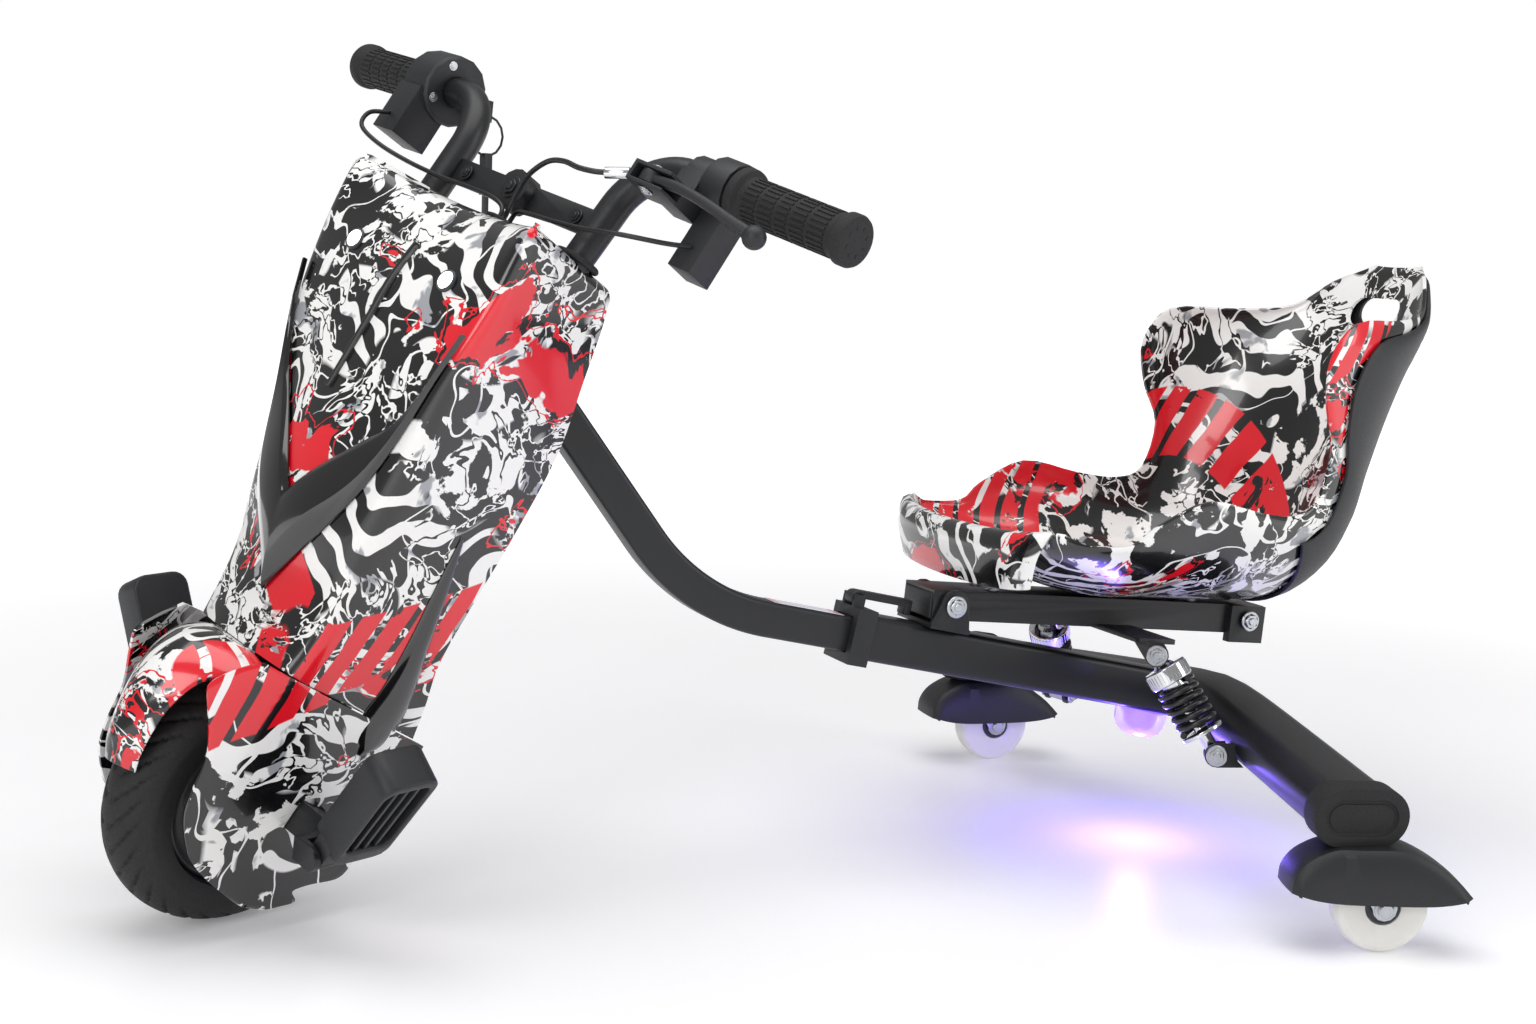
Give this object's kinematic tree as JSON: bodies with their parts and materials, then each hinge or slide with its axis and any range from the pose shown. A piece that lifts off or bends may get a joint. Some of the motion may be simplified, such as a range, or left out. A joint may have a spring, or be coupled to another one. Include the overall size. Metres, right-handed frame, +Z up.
{
  "type": "drift trike",
  "caption": "Low electric drift trike with a steered, powered front wheel under printed bodywork, a telescopic frame, a bucket seat on spring legs and swivelling rear wheels",
  "frame": {"origin": "middle of the bounding box's bottom face, on the ground", "axes": "+X forward along the frame, +Y to the rider's left, +Z up; the handlebar is turned 25 degrees to the left at rest"},
  "size_m": [1.083, 0.6544, 0.6363],
  "materials": {
    "frame_black": "satin",
    "print": "gloss",
    "black_plastic": "matte",
    "gloss_black": "gloss",
    "spring_black": "gloss",
    "rubber": "matte",
    "tyre": "matte",
    "zinc": "satin",
    "white_wheel": "satin",
    "lamp_white": "clear lens",
    "lamp_violet": "clear lens",
    "battery_case": "shrink wrap",
    "controller_case": "extruded"
  },
  "bodies": {
    "rear_frame": {"rear_beam": "frame_black", "rear_cross_tube": "frame_black", "arm_end_cap_left": "rubber", "arm_end_cap_right": "rubber", "clamp_collar": "black_plastic", "seat_pivot_bracket": "frame_black", "shock_foot_left": "frame_black", "shock_foot_right": "frame_black", "under_lamp": "lamp_violet"},
    "clamp_lever": {"clamp_lever": "black_plastic"},
    "front_frame": {"main_tube": "frame_black", "head_tube": "frame_black"},
    "steering": {"steering_fork": "frame_black", "front_axle": "zinc", "front_shield": "print", "visor_trim": "gloss_black", "headlight_left": "lamp_white", "headlight_right": "lamp_white", "front_fender": "print", "wheel_cover_left": "print", "wheel_cover_right": "print", "side_lamp_left": "lamp_white", "side_lamp_right": "lamp_white", "peg_bracket_left": "frame_black", "peg_bracket_right": "frame_black", "battery_pack": "battery_case", "motor_controller": "controller_case", "handlebar": "frame_black", "handlebar_brace": "frame_black", "left_grip": "rubber", "switch_box": "black_plastic", "brake_perch": "black_plastic", "throttle_housing": "black_plastic", "brake_cable": "rubber", "throttle_lead": "rubber", "switch_lead": "rubber"},
    "front_wheel": {"front_tyre": "tyre", "hub_motor": "black_plastic"},
    "throttle": {"throttle_grip": "rubber"},
    "brake_lever": {"brake_lever": "black_plastic"},
    "horn_button": {"horn_button": "rubber"},
    "ignition_key": {"ignition_key": "black_plastic"},
    "spare_key": {"spare_key": "black_plastic"},
    "foot_peg_left": {"foot_peg_left": "black_plastic"},
    "foot_peg_right": {"foot_peg_right": "black_plastic"},
    "caster_left": {"caster_fork_left": "zinc", "caster_fender_left": "black_plastic"},
    "caster_right": {"caster_fork_right": "zinc", "caster_fender_right": "black_plastic"},
    "caster_roller_left": {"caster_wheel_left": "white_wheel"},
    "caster_roller_right": {"caster_wheel_right": "white_wheel"},
    "seat": {"seat_frame": "frame_black", "seat_shell": "print", "seat_back_shell": "black_plastic"},
    "leg_lower_left": {"shock_rod_left": "zinc", "shock_spring_left": "spring_black"},
    "leg_lower_right": {"shock_rod_right": "zinc", "shock_spring_right": "spring_black"},
    "leg_upper_left": {"shock_body_left": "zinc"},
    "leg_upper_right": {"shock_body_right": "zinc"}
  },
  "joints": [
    {"name": "frame_length", "type": "slide", "parent": "rear_frame", "child": "front_frame", "axis": [0.9796, 0, 0.2011], "range_m": [-0.03, 0.09]},
    {"name": "clamp_lever_lift", "type": "hinge", "parent": "rear_frame", "child": "clamp_lever", "pos_m": [-0.03038, -0.01244, 0.21831], "axis": [0, 1, 0], "range_deg": [0, 110]},
    {"name": "steering", "type": "hinge", "parent": "front_frame", "child": "steering", "pos_m": [0.45004, -0.01244, 0.09426], "axis": [-0.5299, 0, 0.848], "range_deg": [-65, 15]},
    {"name": "front_wheel_spin", "type": "hinge", "parent": "steering", "child": "front_wheel", "pos_m": [0.45004, -0.01244, 0.09426], "axis": [-0.3584, 0.9063, -0.224], "continuous": true},
    {"name": "throttle_twist", "type": "hinge", "parent": "steering", "child": "throttle", "pos_m": [0.30917, -0.24181, 0.6194], "axis": [0.2866, -0.9412, 0.1791], "range_deg": [0, 70], "stiffness_Nm_per_rad": 0.3},
    {"name": "brake_squeeze", "type": "hinge", "parent": "steering", "child": "brake_lever", "pos_m": [0.21073, 0.15523, 0.53077], "axis": [-0.5299, 0, 0.848], "range_deg": [0, 18], "stiffness_Nm_per_rad": 2},
    {"name": "horn_press", "type": "slide", "parent": "steering", "child": "horn_button", "axis": [0.7326, 0.5038, 0.4578], "range_m": [0, 0.0011], "stiffness_N_per_m": 1500},
    {"name": "key_turn", "type": "hinge", "parent": "steering", "child": "ignition_key", "pos_m": [0.25554, -0.1232, 0.58589], "axis": [-0.2866, 0.9412, -0.1791], "range_deg": [0, 45]},
    {"name": "spare_key_swing", "type": "hinge", "parent": "ignition_key", "child": "spare_key", "pos_m": [0.25, -0.10521, 0.57903], "axis": [0.9412, 0.3379, 0], "range_deg": [-15, 15]},
    {"name": "foot_peg_fold_left", "type": "hinge", "parent": "steering", "child": "foot_peg_left", "pos_m": [0.39172, 0.08315, 0.07433], "axis": [0.9326, 0.3584, -0.0421], "range_deg": [-57, 0]},
    {"name": "caster_swivel_left", "type": "hinge", "parent": "rear_frame", "child": "caster_left", "pos_m": [-0.29935, 0.27456, 0], "axis": [0, 0, 1], "continuous": true},
    {"name": "caster_spin_left", "type": "hinge", "parent": "caster_left", "child": "caster_roller_left", "pos_m": [-0.31979, 0.2827, 0.035], "axis": [0.3697, 0.9291, 0], "continuous": true},
    {"name": "foot_peg_fold_right", "type": "hinge", "parent": "steering", "child": "foot_peg_right", "pos_m": [0.47201, -0.11986, 0.12449], "axis": [0.9326, 0.3584, -0.0421], "range_deg": [0, 57]},
    {"name": "caster_swivel_right", "type": "hinge", "parent": "rear_frame", "child": "caster_right", "pos_m": [-0.29935, -0.29944, 0], "axis": [0, 0, 1], "continuous": true},
    {"name": "caster_spin_right", "type": "hinge", "parent": "caster_right", "child": "caster_roller_right", "pos_m": [-0.32123, -0.29722, 0.035], "axis": [0.1011, 0.9949, 0], "continuous": true},
    {"name": "seat_sink", "type": "hinge", "parent": "rear_frame", "child": "seat", "pos_m": [-0.10496, -0.01244, 0.213], "axis": [0, 1, 0], "range_deg": [-3.2, 0], "stiffness_Nm_per_rad": 1400, "springref_deg": 0.29},
    {"name": "leg_lean_left", "type": "hinge", "parent": "rear_frame", "child": "leg_lower_left", "pos_m": [-0.29596, 0.10756, 0.104], "axis": [0.5354, 0.8362, 0.119], "range_deg": [0, 4.1]},
    {"name": "leg_squash_left", "type": "slide", "parent": "leg_lower_left", "child": "leg_upper_left", "axis": [0.4173, -0.3843, 0.8235], "range_m": [-0.0066, 0], "deforming": ["shock_spring_left"]},
    {"name": "leg_lean_right", "type": "hinge", "parent": "rear_frame", "child": "leg_lower_right", "pos_m": [-0.29596, -0.13244, 0.104], "axis": [-0.5354, 0.8362, -0.119], "range_deg": [0, 4.1]},
    {"name": "leg_squash_right", "type": "slide", "parent": "leg_lower_right", "child": "leg_upper_right", "axis": [0.4173, 0.3843, 0.8235], "range_m": [-0.0066, 0], "deforming": ["shock_spring_right"]}
  ],
  "couplings": [
    {"joint": "leg_lean_left", "follows": "seat_sink", "ratio": -1.206},
    {"joint": "leg_squash_left", "follows": "seat_sink", "m_per_rad": 0.11181},
    {"joint": "leg_lean_right", "follows": "seat_sink", "ratio": -1.206},
    {"joint": "leg_squash_right", "follows": "seat_sink", "m_per_rad": 0.11181}
  ]
}
